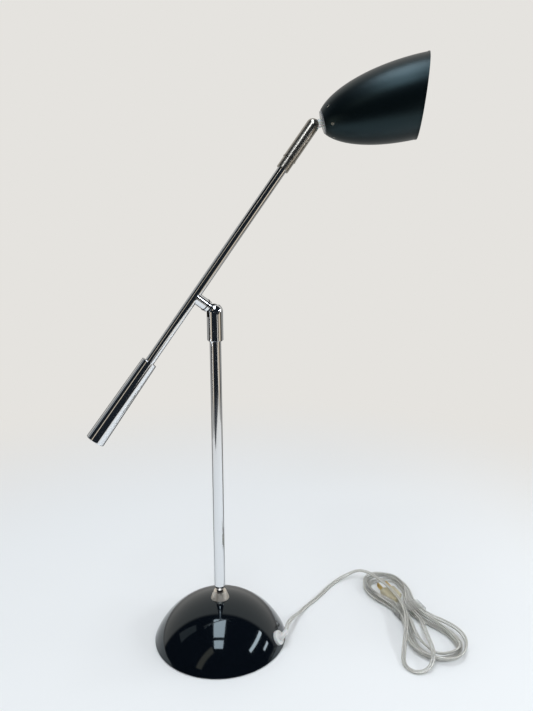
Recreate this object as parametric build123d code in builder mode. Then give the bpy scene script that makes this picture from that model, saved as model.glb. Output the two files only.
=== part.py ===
# Counterweight balance desk lamp: weighted dome base, upright stem, ball-ended elbow,
# balanced arm and bullet shade, with its flat flex in a free stretch, a loop and a hank.
# Millimetres. The origin is the middle of the base's underside, +Z is up, and the arm
# lies in the XZ plane with the shade's end towards +X.

import math
import os

from build123d import *

os.makedirs("parts", exist_ok=True)

# ---------------------------------------------------------------- driving dimensions

# base
base_radius = 82.5
base_height = 55.0
shell_wall = 1.2
shell_lift = 0.8  # the shell's edge stands this much above the table
pad_gap = 0.3  # between the pad's rim and the shell
pad_thickness = 2.0
weight_inset = 9.0  # between the weight's edges and the shell
weight_thickness = 20.0
hub_radius = 19.0
recess_radius = 14.0
recess_depth = 22.0
channel_width = 9.0
channel_height = 11.0

# nipple that ties stem, collar, shell and weight together
nipple_radius = 4.0
nipple_bore = 2.9
nut_flats = 14.0
nut_height = 5.5
washer_radius = 11.0
washer_thickness = 1.6
nipple_tail = 1.0  # thread left below the nut
nipple_grip = 13.0  # thread held inside the stem

# stem and collar
collar_foot_radius = 11.3
collar_top_radius = 7.6
collar_height = 9.2
nipple_show = 2.4  # bare nipple between collar and stem
stem_radius = 6.5
stem_bore = 5.3
stem_taper_height = 5.6
stem_tip_radius = 4.6
stem_floor = 15.0  # solid end of the stem
stem_plug_length = 14.0

# elbow: a ball-ended sleeve turning on the stem, slotted on one side
pivot_height = 415.4
pivot_rise = 17.4  # stem's top to the pivot
elbow_radius = 9.1
elbow_length = 33.3  # pivot to the sleeve's lower rim
elbow_chamfer = 0.9
elbow_web = 2.5
elbow_slot = 7.6
elbow_tongue_thickness = 7.0
elbow_tongue_radius = 5.0
elbow_cavity = 5.6
elbow_pin_radius = 2.0
swivel_shank = 3.5
swivel_bore = 2.0
swivel_head_radius = 4.8
swivel_head_height = 2.3

# knuckle between elbow and arm
knuckle_radius = 6.5
knuckle_start = 9.8  # pivot to the round part of the tongue
knuckle_groove = 13.2  # pivot to the ring in the groove
ring_radius = 7.1
ring_thickness = 0.8
neck_length = 29.7  # pivot to the arm's axis
knuckle_edge = 1.6
tongue_root = 1.0  # tongue's depth into the round part behind it
pocket_depth = 3.9  # room for the stud's head inside the knuckle

# arm
arm_rise = 52.0  # the arm's angle above the horizontal, at rest
arm_radius = 5.2
arm_bore = 4.1
arm_tail_length = 150.0  # arm below its knuckle, inside the counterweight
arm_head_length = 183.0  # arm above its knuckle, inside the ferrule

# counterweight
counterweight_nose = 40.5  # solid end beyond the arm's lower end
counterweight_length = 103.7
counterweight_low_radius = 10.6
counterweight_high_radius = 8.8
counterweight_edge = 0.7

# ferrule and head sleeve
ferrule_lap = 10.5  # arm's upper end inside the ferrule
ferrule_radius = 7.1
ferrule_length = 13.8
head_ring_radius = 7.9
head_ring_thickness = 0.7
head_radius = 7.5
head_web = 3.0
head_cavity = 5.4
head_sleeve_length = 46.0  # sleeve's lower end to the head hinge
head_slot = 6.0
head_tongue_thickness = 5.4
head_tongue_radius = 3.9
head_pin_radius = 1.5
head_shank = 3.2
head_stud_radius = 4.8
head_stud_height = 2.0
head_turn = 35.0  # the head sleeve's turn about the arm, towards -Y
head_tilt = 41.9  # angle between the arm and the shade's axis

# shade, measured along its own axis from the head hinge
neck_radius = 4.5
neck_start = 8.1
neck_bore_depth = 1.5  # of the wires' bore into the neck
disc_start = 10.6
disc_radius = 13.2
disc_edge_radius = 12.4
disc_thickness = 1.4
shade_wall = 1.2
shade_belly = 121.2  # where the shade is widest
shade_radius = 43.9
shade_curve = 115.0  # half axis of the shade's elliptic outline
mouth_reach = 125.8  # hinge to the slanted mouth, on the axis
mouth_slant = 21.6
rim_width = 1.8  # hem turned outwards round the mouth
rim_lift = 0.35
vent_count = 6
vent_radius = 1.6
vent_reach = 19.5
vent_phase = 36.0

# lamp holder and bulb
holder_nut_radius = 7.0
holder_nut_height = 3.0
holder_back_radius = 12.0
holder_radius = 15.0
holder_length = 30.0
holder_shoulder = 9.0
holder_bore = 8.4
holder_floor = 5.0
stud_radius = 3.9
stud_bore = 2.2
cap_radius = 7.0
cap_length = 21.0
cap_contact_radius = 3.0
cap_contact_height = 1.6
cap_chamfer = 2.0
bulb_neck_radius = 7.4
bulb_radius = 22.5
bulb_length = 62.0
bulb_wall = 1.0
bulb_shoulder = 128.0  # from the tip to where the neck's curve begins

# cord, its bushing and its plug
cord_radius = 2.5
bushing_turn = -43.0  # direction of the cord's way out, about the stem
bushing_height = 13.0
bushing_radius = 8.7
bushing_cap = 3.6
bushing_neck_radius = 6.0
bushing_flange_radius = 7.2
bushing_flange_thickness = 1.4
bushing_edge = 1.2
sleeve_root_radius = 3.9
sleeve_end_radius = 3.1
sleeve_bend_radius = 7.0  # radius of the sleeve's quarter turn
sleeve_lean = 13.0  # the sleeve's rise above the level, at its end
plug_width = 23.0
plug_thickness = 10.0
plug_edge = 1.2
plug_rest = 0.2
plug_grip_radius = 3.8
plug_taper = 9.0
plug_body = 19.0
blade_root = 9.0
blade_length = 16.5
blade_width = 6.3
blade_thickness = 1.5
blade_spacing = 12.7
blade_hole_inset = 4.0
blade_hole_radius = 1.5

# route of the free cord over the table, between its two ends
cord_straight = 8.0
cord_route = (
    (78.5, -37.0, 20.6),
    (88.0, -26.5, 16.2),
    (97.5, -16.2, 10.6),
    (108.5, -6.0, 5.6),
    (121.0, 3.5, 2.9),
    (137.0, 12.5, 2.6),
    (156.0, 22.0, 2.6),
    (175.0, 34.5, 2.6),
    (194.5, 43.5, 2.9),
    (213.0, 45.5, 6.5),
    (226.0, 39.0, 13.2),
    (234.0, 26.0, 15.3),
    (238.5, 8.0, 15.0),
    (240.5, -12.0, 15.0),
    (239.5, -34.0, 15.1),
    (235.0, -57.0, 15.6),
    (225.5, -79.0, 15.4),
    (214.0, -97.0, 15.3),
    (201.5, -111.5, 10.8),
    (189.5, -126.0, 4.6),
    (178.8, -140.3, 2.7),
    (176.9, -151.6, 2.7),
    (182.2, -161.7, 2.7),
    (192.8, -166.3, 4.4),
    (203.2, -163.8, 9.4),
    (211.4, -154.6, 14.8),
    (217.8, -140.5, 15.6),
    (223.3, -126.5, 15.4),
    (229.3, -113.0, 14.6),
    (236.5, -99.5, 12.0),
)

# hank: loops wound outwards in the upper layer and back inwards in the lower one
hank_centre = (241.0, -62.0)
hank_turn = -4.0
hank_loops = 4
layer_step = 5.8
waist_offset = 3.2
waist_step = 7.0
lobe_offset = 19.5
lobe_step = 6.2
far_shoulder = 58.0
near_shoulder = 66.0
far_end = 82.0
near_end = 95.0
end_step = 6.2
hank_lead_in = 14.0
lead_straight = 11.0
plug_shift = 4.2  # sideways move of the cord's end towards the plug
plug_lead = 24.0
plug_straight = 6.0
tie_wall = 0.5
tie_width = 18.0

# clearances
running_gap = 0.05  # radial, between a shaft and its bore
moving_gap = 0.3  # between faces that turn past each other
fit_gap = 0.03  # radial, between pressed or screwed pieces
tie_gap = 0.2
tie_side_gap = 1.3

# ---------------------------------------------------------------- places worked out

dome_radius = (base_radius**2 + base_height**2) / (2 * base_height)
dome_centre = base_height - dome_radius


def dome_z(radius, skin=0.0):
    """Height of the dome, or of a surface that lies skin below it, at a radius."""
    return dome_centre + math.sqrt((dome_radius - skin) ** 2 - radius**2)


def dome_r(height, skin=0.0):
    """Radius of the dome, or of a surface that lies skin below it, at a height."""
    return math.sqrt((dome_radius - skin) ** 2 - (height - dome_centre) ** 2)


def arc_middle(start, end, skin=0.0):
    """Middle of the dome's arc between two points of its profile."""
    first = math.atan2(start[1] - dome_centre, start[0])
    last = math.atan2(end[1] - dome_centre, end[0])
    middle = (first + last) / 2
    reach = dome_radius - skin
    return (reach * math.cos(middle), dome_centre + reach * math.sin(middle))


weight_top = pad_thickness + weight_thickness
pad_radius = dome_r(pad_thickness, shell_wall) - pad_gap
weight_foot_radius = dome_r(pad_thickness, shell_wall) - weight_inset
weight_top_radius = dome_r(weight_top, shell_wall) - weight_inset
recess_top = pad_thickness + recess_depth
hub_top = dome_z(hub_radius, shell_wall) - fit_gap
washer_low = recess_top - washer_thickness
nut_low = washer_low - nut_height
nipple_low = nut_low - nipple_tail
collar_foot = dome_z(collar_foot_radius)
collar_top = collar_foot + collar_height
stem_foot = collar_top + nipple_show
nipple_top = stem_foot + nipple_grip

pivot = Vector(0, 0, pivot_height)
elbow_foot = pivot_height - elbow_length
stem_top = pivot_height - pivot_rise
web_low = stem_top + moving_gap
web_top = web_low + elbow_web
screw_head_low = web_top + moving_gap

rise = math.radians(arm_rise)
arm_dir = Vector(math.cos(rise), 0, math.sin(rise))
neck_dir = Vector(-math.sin(rise), 0, math.cos(rise))
arm_root = pivot + neck_dir * neck_length
weight_low_reach = arm_tail_length + counterweight_nose
weight_high_reach = weight_low_reach - counterweight_length
ferrule_start = arm_head_length - ferrule_lap
ferrule_end = ferrule_start + ferrule_length
sleeve_low = ferrule_end + head_ring_thickness + moving_gap
head_reach = sleeve_low + head_sleeve_length
head_hinge = arm_root + arm_dir * head_reach
arm_line = Axis(arm_root, arm_dir)
head_axis_dir = Vector(0, 1, 0).rotate(Axis((0, 0, 0), arm_dir), -head_turn)
shade_dir = arm_dir.rotate(Axis((0, 0, 0), head_axis_dir), head_tilt)
head_open_dir = head_axis_dir.cross(arm_dir)


def along_neck(distance):
    """Plane square to the knuckle's axis, at a distance from the elbow's pivot."""
    return Plane(origin=pivot + neck_dir * distance, x_dir=(0, 1, 0), z_dir=neck_dir)


def along_arm(distance):
    """Plane square to the arm, at a distance from its knuckle."""
    return Plane(origin=arm_root + arm_dir * distance, x_dir=head_axis_dir, z_dir=arm_dir)


def along_shade(distance):
    """Plane square to the shade's axis, at a distance from the head hinge."""
    place = head_hinge + shade_dir * distance
    return Plane(origin=place, x_dir=head_axis_dir, z_dir=shade_dir)


# hinge views: local X is the open side of the slot, local Y the sleeve's own axis
elbow_view = Plane(origin=pivot, x_dir=(-1, 0, 0), z_dir=(0, 1, 0))
head_view = Plane(origin=head_hinge, x_dir=head_open_dir, z_dir=-head_axis_dir)
shade_profile = Plane(origin=head_hinge, x_dir=shade_dir, z_dir=-head_axis_dir)


def ring(plane, outer, inner, length):
    """Round bar with a bore, added to the part being built."""
    with BuildSketch(plane) as outline:
        Circle(outer)
        Circle(inner, mode=Mode.SUBTRACT)
    extrude(outline.sketch, amount=length)


def rod(plane, radius, length, mode=Mode.ADD):
    """Round bar, added to the part being built or cut from it."""
    with BuildSketch(plane) as outline:
        Circle(radius)
    extrude(outline.sketch, amount=length, mode=mode)


def cross_hole(view, radius, reach):
    """Round hole through the part being built, both ways along the hinge."""
    with BuildSketch(view) as outline:
        Circle(radius)
    extrude(outline.sketch, amount=reach, both=True, mode=Mode.SUBTRACT)


def cut_hinge_slot(view, swing_radius, width, reach):
    """One-sided slot of a ball-ended sleeve: open ahead and to one side of the hinge."""
    with BuildSketch(view) as outline:
        Circle(swing_radius)
        with Locations((0, -swing_radius)):
            Rectangle(reach, reach + swing_radius, align=(Align.MIN, Align.MIN))
        with Locations((-swing_radius, 0)):
            Rectangle(reach + swing_radius, reach, align=(Align.MIN, Align.MIN))
    extrude(outline.sketch, amount=width / 2, both=True, mode=Mode.SUBTRACT)


def add_tongue(view, radius, direction_angle, length, thickness):
    """Flat tongue, round about the hinge, added to the part being built."""
    with BuildSketch(view) as outline:
        Circle(radius)
        with Locations(Rotation(0, 0, direction_angle)):
            Rectangle(length, 2 * radius, align=(Align.MIN, Align.CENTER))
    extrude(outline.sketch, amount=thickness / 2, both=True)


def save(piece, name):
    """Label a finished piece and write it."""
    piece.part.label = name
    export_step(piece.part, f"parts/{name}.step")


# ---------------------------------------------------------------- base

bushing_angle = math.radians(bushing_turn)
bushing_reach = dome_r(bushing_height)
bushing_point = Vector(
    bushing_reach * math.cos(bushing_angle),
    bushing_reach * math.sin(bushing_angle),
    bushing_height,
)
bushing_dir = (bushing_point - Vector(0, 0, dome_centre)).normalized()
bushing_side = Vector(-math.sin(bushing_angle), math.cos(bushing_angle), 0)


def along_bushing(distance):
    """Plane square to the cord's way out, at a distance from the dome's surface."""
    place = bushing_point + bushing_dir * distance
    return Plane(origin=place, x_dir=bushing_side, z_dir=bushing_dir)


# spun steel shell, an even skin of the dome
with BuildPart() as base_shell:
    eye = nipple_radius + fit_gap
    outer_top = (eye, dome_z(eye))
    outer_edge = (dome_r(shell_lift), shell_lift)
    inner_edge = (dome_r(shell_lift, shell_wall), shell_lift)
    inner_top = (eye, dome_z(eye, shell_wall))
    with BuildSketch(Plane.XZ):
        with BuildLine():
            ThreePointArc(outer_top, arc_middle(outer_top, outer_edge), outer_edge)
            Line(outer_edge, inner_edge)
            inner_middle = arc_middle(inner_edge, inner_top, shell_wall)
            ThreePointArc(inner_edge, inner_middle, inner_top)
            Line(inner_top, outer_top)
        make_face()
    revolve(axis=Axis.Z)
    fillet(base_shell.edges().group_by(Axis.Z)[0], shell_wall * 0.4)
    rod(along_bushing(-3 * shell_wall), bushing_neck_radius + fit_gap, 6 * shell_wall, Mode.SUBTRACT)
save(base_shell, "base_shell")

# cast iron weight with a hub up to the shell, a nut recess and a channel for the lead
with BuildPart() as base_weight:
    with BuildSketch(Plane.XZ):
        with BuildLine():
            Polyline(
                (nipple_radius + fit_gap, recess_top),
                (recess_radius, recess_top),
                (recess_radius, pad_thickness),
                (weight_foot_radius, pad_thickness),
                (weight_top_radius, weight_top),
                (hub_radius, weight_top),
                (hub_radius, hub_top),
                (nipple_radius + fit_gap, hub_top),
                close=True,
            )
        make_face()
    revolve(axis=Axis.Z)
    channel = Plane(
        origin=(0, 0, pad_thickness),
        x_dir=(math.cos(bushing_angle), math.sin(bushing_angle), 0),
        z_dir=(0, 0, 1),
    )
    with BuildSketch(channel):
        Rectangle(base_radius, channel_width, align=(Align.MIN, Align.CENTER))
    extrude(amount=channel_height, mode=Mode.SUBTRACT)
save(base_weight, "base_weight")

# felt pad that closes the base and lies on the table
with BuildPart() as base_pad:
    rod(Plane.XY, pad_radius, pad_thickness)
save(base_pad, "base_pad")

with BuildPart() as base_nipple:
    ring(Plane.XY.offset(nipple_low), nipple_radius, nipple_bore, nipple_top - nipple_low)
save(base_nipple, "base_nipple")

with BuildPart() as base_washer:
    ring(Plane.XY.offset(washer_low), washer_radius, nipple_radius + fit_gap, washer_thickness)
save(base_washer, "base_washer")

with BuildPart() as base_nut:
    with BuildSketch(Plane.XY.offset(nut_low)):
        RegularPolygon(nut_flats / 2, 6, major_radius=False)
        Circle(nipple_radius + fit_gap, mode=Mode.SUBTRACT)
    extrude(amount=nut_height)
save(base_nut, "base_nut")

# ---------------------------------------------------------------- stem

# turned cone whose foot follows the dome
with BuildPart() as stem_collar:
    eye = nipple_radius + fit_gap
    foot_inner = (eye, dome_z(eye))
    foot_outer = (collar_foot_radius, collar_foot)
    with BuildSketch(Plane.XZ):
        with BuildLine():
            ThreePointArc(foot_inner, arc_middle(foot_inner, foot_outer), foot_outer)
            Polyline(foot_outer, (collar_top_radius, collar_top), (eye, collar_top), foot_inner)
        make_face()
    revolve(axis=Axis.Z)
save(stem_collar, "stem_collar")

# drawn tube with a solid turned-down foot
with BuildPart() as stem_tube:
    with BuildSketch(Plane.XZ):
        with BuildLine():
            Polyline(
                (nipple_radius + fit_gap, stem_foot),
                (stem_tip_radius, stem_foot),
                (stem_radius, stem_foot + stem_taper_height),
                (stem_radius, stem_top),
                (stem_bore, stem_top),
                (stem_bore, stem_foot + stem_floor),
                (nipple_radius + fit_gap, stem_foot + stem_floor),
                close=True,
            )
        make_face()
    revolve(axis=Axis.Z)
save(stem_tube, "stem_tube")

# threaded bush pressed into the stem, which takes the swivel screw
with BuildPart() as stem_bush:
    bush_low = Plane.XY.offset(stem_top - stem_plug_length)
    ring(bush_low, stem_bore - fit_gap, swivel_shank + fit_gap, stem_plug_length)
save(stem_bush, "stem_bush")

# hollow screw that holds the elbow on the stem and lets it turn
with BuildPart() as swivel_screw:
    screw_low = stem_top - stem_plug_length
    rod(Plane.XY.offset(screw_low), swivel_shank, screw_head_low - screw_low)
    rod(Plane.XY.offset(screw_head_low), swivel_head_radius, swivel_head_height)
    rod(
        Plane.XY.offset(screw_low),
        swivel_bore,
        screw_head_low + swivel_head_height - screw_low,
        Mode.SUBTRACT,
    )
save(swivel_screw, "swivel_screw")

# ---------------------------------------------------------------- elbow

with BuildPart() as elbow_sleeve:
    with BuildSketch(Plane.XZ):
        with BuildLine():
            ball_side = (elbow_radius, pivot_height)
            ball_top = (0, pivot_height + elbow_radius)
            ball_middle = (
                elbow_radius * math.sqrt(0.5),
                pivot_height + elbow_radius * math.sqrt(0.5),
            )
            ThreePointArc(ball_side, ball_middle, ball_top)
            Polyline(
                ball_top,
                (0, elbow_foot),
                (elbow_radius - elbow_chamfer, elbow_foot),
                (elbow_radius, elbow_foot + elbow_chamfer),
                ball_side,
            )
        make_face()
    revolve(axis=Axis.Z)
    rod(
        Plane.XY.offset(elbow_foot),
        stem_radius + running_gap,
        web_low - elbow_foot,
        Mode.SUBTRACT,
    )
    rod(Plane.XY.offset(web_low), swivel_shank + running_gap, elbow_web, Mode.SUBTRACT)
    rod(Plane.XY.offset(web_top), elbow_cavity, pivot_height - web_top, Mode.SUBTRACT)
    cut_hinge_slot(elbow_view, elbow_tongue_radius + moving_gap, elbow_slot, 2 * elbow_radius)
    cross_hole(elbow_view, elbow_pin_radius + fit_gap, elbow_radius)
save(elbow_sleeve, "elbow_sleeve")

with BuildPart() as elbow_pin:
    with BuildSketch(elbow_view):
        Circle(elbow_pin_radius)
    extrude(amount=elbow_radius - moving_gap, both=True)
save(elbow_pin, "elbow_pin")

# tongue that swings in the elbow's slot, with the stud that the arm turns on
with BuildPart() as elbow_tongue:
    add_tongue(
        elbow_view,
        elbow_tongue_radius,
        90 - arm_rise,
        knuckle_start + tongue_root,
        elbow_tongue_thickness,
    )
    rod(along_neck(knuckle_start), knuckle_radius, knuckle_groove - knuckle_start)
    stud_end = knuckle_groove + ring_thickness + moving_gap + elbow_web + moving_gap
    rod(along_neck(knuckle_groove), swivel_shank, stud_end - knuckle_groove)
    rod(along_neck(stud_end), swivel_head_radius, swivel_head_height)
    cross_hole(elbow_view, elbow_pin_radius + running_gap, elbow_radius)
save(elbow_tongue, "elbow_tongue")

with BuildPart() as elbow_ring:
    ring(along_neck(knuckle_groove), ring_radius, swivel_shank + fit_gap, ring_thickness)
save(elbow_ring, "elbow_ring")

# ---------------------------------------------------------------- arm

knuckle_low = knuckle_groove + ring_thickness + moving_gap
with BuildPart() as arm_knuckle:
    rod(along_neck(knuckle_low), knuckle_radius, neck_length - knuckle_low)
    fillet(arm_knuckle.edges().sort_by(Axis(pivot, neck_dir))[-1], knuckle_edge)
    rod(along_neck(knuckle_low), swivel_shank + running_gap, elbow_web, Mode.SUBTRACT)
    rod(
        along_neck(knuckle_low + elbow_web),
        swivel_head_radius + moving_gap,
        pocket_depth,
        Mode.SUBTRACT,
    )
    rod(along_arm(-2 * knuckle_radius), arm_radius + fit_gap, 4 * knuckle_radius, Mode.SUBTRACT)
save(arm_knuckle, "arm_knuckle")

with BuildPart() as arm_tube:
    ring(along_arm(-arm_tail_length), arm_radius, arm_bore, arm_tail_length + arm_head_length)
save(arm_tube, "arm_tube")

# turned steel bar, slightly tapered, bored for the arm's lower end
with BuildPart() as counterweight:
    with BuildSketch(along_arm(-weight_low_reach)):
        Circle(counterweight_low_radius)
    with BuildSketch(along_arm(-weight_high_reach)):
        Circle(counterweight_high_radius)
    loft()
    fillet(counterweight.edges().filter_by(GeomType.CIRCLE), counterweight_edge)
    rod(along_arm(-arm_tail_length), arm_radius + fit_gap, arm_tail_length, Mode.SUBTRACT)
save(counterweight, "counterweight")

# ferrule on the arm's upper end, closed by the wall that the head's stud is screwed in
with BuildPart() as head_ferrule:
    ring(along_arm(ferrule_start), ferrule_radius, head_shank + fit_gap, ferrule_length)
    rod(
        along_arm(ferrule_start),
        arm_radius + fit_gap,
        arm_head_length + fit_gap - ferrule_start,
        Mode.SUBTRACT,
    )
save(head_ferrule, "head_ferrule")

with BuildPart() as head_ring:
    ring(along_arm(ferrule_end), head_ring_radius, head_shank + fit_gap, head_ring_thickness)
save(head_ring, "head_ring")

with BuildPart() as head_stud:
    stud_low = arm_head_length + 2 * fit_gap
    stud_high = sleeve_low + head_web + moving_gap
    rod(along_arm(stud_low), head_shank, stud_high - stud_low)
    rod(along_arm(stud_high), head_stud_radius, head_stud_height)
    rod(along_arm(stud_low), swivel_bore, stud_high + head_stud_height - stud_low, Mode.SUBTRACT)
save(head_stud, "head_stud")

# ---------------------------------------------------------------- head sleeve

with BuildPart() as head_sleeve:
    rod(along_arm(sleeve_low), head_radius, head_reach - sleeve_low)
    with BuildSketch(head_view):
        with BuildLine():
            CenterArc((0, 0), head_radius, 0, 90)
            Polyline((0, head_radius), (0, 0), (head_radius, 0))
        make_face()
    revolve(axis=Axis(head_hinge, arm_dir))
    rod(along_arm(sleeve_low), head_shank + running_gap, head_web, Mode.SUBTRACT)
    rod(
        along_arm(sleeve_low + head_web),
        head_cavity,
        head_reach - sleeve_low - head_web,
        Mode.SUBTRACT,
    )
    cut_hinge_slot(head_view, head_tongue_radius + moving_gap, head_slot, 2 * head_radius)
    cross_hole(head_view, head_pin_radius + fit_gap, head_radius)
save(head_sleeve, "head_sleeve")

with BuildPart() as head_pin:
    with BuildSketch(head_view):
        Circle(head_pin_radius)
    extrude(amount=head_radius - moving_gap, both=True)
save(head_pin, "head_pin")

# ---------------------------------------------------------------- shade

shade_back = disc_start + disc_thickness
nut_start = shade_back + shade_wall
holder_start = nut_start + holder_nut_height


def shade_r(distance, skin=0.0):
    """Radius of the shade's elliptic outline, or of a skin inside it."""
    share = (shade_belly - distance) / (shade_curve - skin)
    return (shade_radius - skin) * math.sqrt(1 - share**2)


with BuildPart() as shade_neck:
    add_tongue(head_view, head_tongue_radius, 90 - head_tilt, neck_start + tongue_root, head_tongue_thickness)
    rod(along_shade(neck_start), neck_radius, disc_start - neck_start)
    rod(along_shade(disc_start), stud_radius, holder_start + holder_floor - disc_start)
    rod(
        along_shade(disc_start - neck_bore_depth),
        stud_bore,
        holder_start + holder_floor - disc_start + neck_bore_depth,
        Mode.SUBTRACT,
    )
    cross_hole(head_view, head_pin_radius + running_gap, head_radius)
save(shade_neck, "shade_neck")

# moulded disc between neck and shade, dished a little towards the shade
with BuildPart() as shade_disc:
    with BuildSketch(along_shade(disc_start)):
        Circle(disc_edge_radius)
    with BuildSketch(along_shade(shade_back)):
        Circle(disc_radius)
    loft()
    rod(along_shade(disc_start), stud_radius + fit_gap, disc_thickness, Mode.SUBTRACT)
save(shade_disc, "shade_disc")

def ellipse_turn(distance, skin):
    """Angle of the outline's point at a distance, about the belly's middle."""
    return math.degrees(math.acos((distance - shade_belly) / (shade_curve - skin)))


def add_wall(start, end, outer_skin, inner_skin, inner_start):
    """Arcs and end of a wall between two skins of the shade, in its profile."""
    for skin, begin in ((outer_skin, start), (inner_skin, inner_start)):
        EllipticalCenterArc(
            (shade_belly, 0),
            shade_curve - skin,
            shade_radius - skin,
            start_angle=ellipse_turn(end, skin),
            arc_size=ellipse_turn(begin, skin) - ellipse_turn(end, skin),
        )
    Line((end, shade_r(end, outer_skin)), (end, shade_r(end, inner_skin)))


mouth_tilt = math.radians(mouth_slant)
shade_up = shade_dir.cross(head_axis_dir)
mouth_dir = shade_dir * math.cos(mouth_tilt) - shade_up * math.sin(mouth_tilt)


def across_mouth(distance):
    """The mouth's slanted plane, or one at a distance in front of it."""
    place = head_hinge + shade_dir * mouth_reach + mouth_dir * distance
    return Plane(origin=place, x_dir=head_axis_dir, z_dir=mouth_dir)


# spun bullet with a flat back, an elliptic wall and a slanted, hemmed mouth
spin_end = shade_belly + shade_radius * 0.5
spin_axis = Axis(head_hinge, shade_dir)
with BuildPart() as rim_hem:
    hem_start = mouth_reach - shade_radius * 0.5
    with BuildSketch(shade_profile):
        with BuildLine():
            add_wall(hem_start, spin_end, -rim_lift, shade_wall / 2, hem_start)
            hem_top = (hem_start, shade_r(hem_start, -rim_lift))
            Line((hem_start, shade_r(hem_start, shade_wall / 2)), hem_top)
        make_face()
    revolve(axis=spin_axis)
    split(bisect_by=across_mouth(0), keep=Keep.BOTTOM)
    split(bisect_by=across_mouth(-rim_width), keep=Keep.TOP)

with BuildPart() as shade_shell:
    back_corner = (shade_back, shade_r(shade_back))
    inner_corner = (nut_start, shade_r(nut_start, shade_wall))
    back_eye = stud_radius + fit_gap
    with BuildSketch(shade_profile):
        with BuildLine():
            Polyline(inner_corner, (nut_start, back_eye), (shade_back, back_eye), back_corner)
            add_wall(shade_back, spin_end, 0.0, shade_wall, nut_start)
        make_face()
    revolve(axis=spin_axis)
    split(bisect_by=across_mouth(0), keep=Keep.BOTTOM)
    add(rim_hem.part)
    for index in range(vent_count):
        vent_angle = math.radians(vent_phase + index * 360 / vent_count)
        out = head_axis_dir * math.cos(vent_angle) + shade_up * math.sin(vent_angle)
        place = head_hinge + shade_dir * vent_reach + out * shade_r(vent_reach) * 0.6
        rod(Plane(origin=place, z_dir=out), vent_radius, shade_radius, Mode.SUBTRACT)
save(shade_shell, "shade_shell")

# ---------------------------------------------------------------- lamp holder and bulb

with BuildPart() as holder_nut:
    with BuildSketch(along_shade(nut_start)):
        RegularPolygon(holder_nut_radius, 6, major_radius=False)
        Circle(stud_radius + fit_gap, mode=Mode.SUBTRACT)
    extrude(amount=holder_nut_height)
save(holder_nut, "holder_nut")

with BuildPart() as lamp_holder:
    with BuildSketch(shade_profile):
        with BuildLine():
            Polyline(
                (holder_start, stud_radius + fit_gap),
                (holder_start, holder_back_radius),
                (holder_start + holder_shoulder, holder_radius),
                (holder_start + holder_length, holder_radius),
                (holder_start + holder_length, holder_bore),
                (holder_start + holder_floor, holder_bore),
                (holder_start + holder_floor, stud_radius + fit_gap),
                close=True,
            )
        make_face()
    revolve(axis=Axis(head_hinge, shade_dir))
save(lamp_holder, "lamp_holder")

cap_start = holder_start + holder_floor + cap_contact_height + moving_gap
cap_end = cap_start + cap_length
with BuildPart() as bulb_cap:
    rod(along_shade(cap_start), cap_radius, cap_length)
    chamfer(bulb_cap.edges().sort_by(Axis(head_hinge, shade_dir))[0], cap_chamfer)
    rod(along_shade(cap_start - cap_contact_height), cap_contact_radius, cap_contact_height)
save(bulb_cap, "bulb_cap")

# blown envelope, an open skin that stands on its cap
with BuildPart() as bulb_glass:
    bulb_tip = cap_end + bulb_length
    bulb_centre = bulb_tip - bulb_radius
    touch_angle = math.radians(bulb_shoulder)
    for skin, mode in ((0.0, Mode.ADD), (bulb_wall, Mode.SUBTRACT)):
        ball = bulb_radius - skin
        neck = bulb_neck_radius - skin
        touch = (bulb_centre + ball * math.cos(touch_angle), ball * math.sin(touch_angle))
        crown = (
            bulb_centre + ball * math.cos(touch_angle / 2),
            ball * math.sin(touch_angle / 2),
        )
        slope = (math.sin(touch_angle), -math.cos(touch_angle))
        with BuildSketch(shade_profile):
            with BuildLine():
                Line((cap_end, 0), (cap_end, neck))
                Spline((cap_end, neck), touch, tangents=((1, 0), slope))
                ThreePointArc(touch, crown, (bulb_centre + ball, 0))
                Line((bulb_centre + ball, 0), (cap_end, 0))
            make_face()
        revolve(axis=Axis(head_hinge, shade_dir), mode=mode)
save(bulb_glass, "bulb_glass")

# ---------------------------------------------------------------- bushing

sleeve_start = bushing_point + bushing_dir * bushing_cap
bushing_up = bushing_dir.cross(bushing_side)
lean = math.radians(sleeve_lean)
sleeve_dir = bushing_side * math.cos(lean) + bushing_up * math.sin(lean)


def along_sleeve(share):
    """Plane square to the bent sleeve, at a share of its quarter turn."""
    turn = share * math.pi / 2
    place = (
        sleeve_start
        + bushing_dir * (sleeve_bend_radius * math.sin(turn))
        + sleeve_dir * (sleeve_bend_radius * (1 - math.cos(turn)))
    )
    heading = bushing_dir * math.cos(turn) + sleeve_dir * math.sin(turn)
    return Plane(origin=place, x_dir=bushing_dir.cross(sleeve_dir), z_dir=heading)


# moulded bushing: a button that follows the dome, a neck through the shell, a flange
# behind it, and a tapered sleeve that turns the cord aside
with BuildPart() as cord_bushing:
    rod(along_bushing(-shell_wall), bushing_radius, bushing_cap + shell_wall)
    fillet(cord_bushing.edges().sort_by(Axis(bushing_point, bushing_dir))[-1], bushing_edge)
    with Locations((0, 0, dome_centre)):
        Sphere(dome_radius, mode=Mode.SUBTRACT)
    neck_depth = shell_wall + moving_gap + bushing_flange_thickness
    rod(along_bushing(-neck_depth), bushing_neck_radius, neck_depth + bushing_cap / 2)
    rod(along_bushing(-neck_depth), bushing_flange_radius, bushing_flange_thickness)
    for share in (0, 1 / 3, 2 / 3, 1):
        with BuildSketch(along_sleeve(share)):
            Circle(sleeve_root_radius + (sleeve_end_radius - sleeve_root_radius) * share)
    loft()
save(cord_bushing, "cord_bushing")

# ---------------------------------------------------------------- cord

hank_angle = math.radians(hank_turn)
hank_along = Vector(-math.sin(hank_angle), math.cos(hank_angle), 0)
hank_across = Vector(math.cos(hank_angle), math.sin(hank_angle), 0)
lower_layer = tie_wall + tie_gap + cord_radius
upper_layer = lower_layer + layer_step


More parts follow.
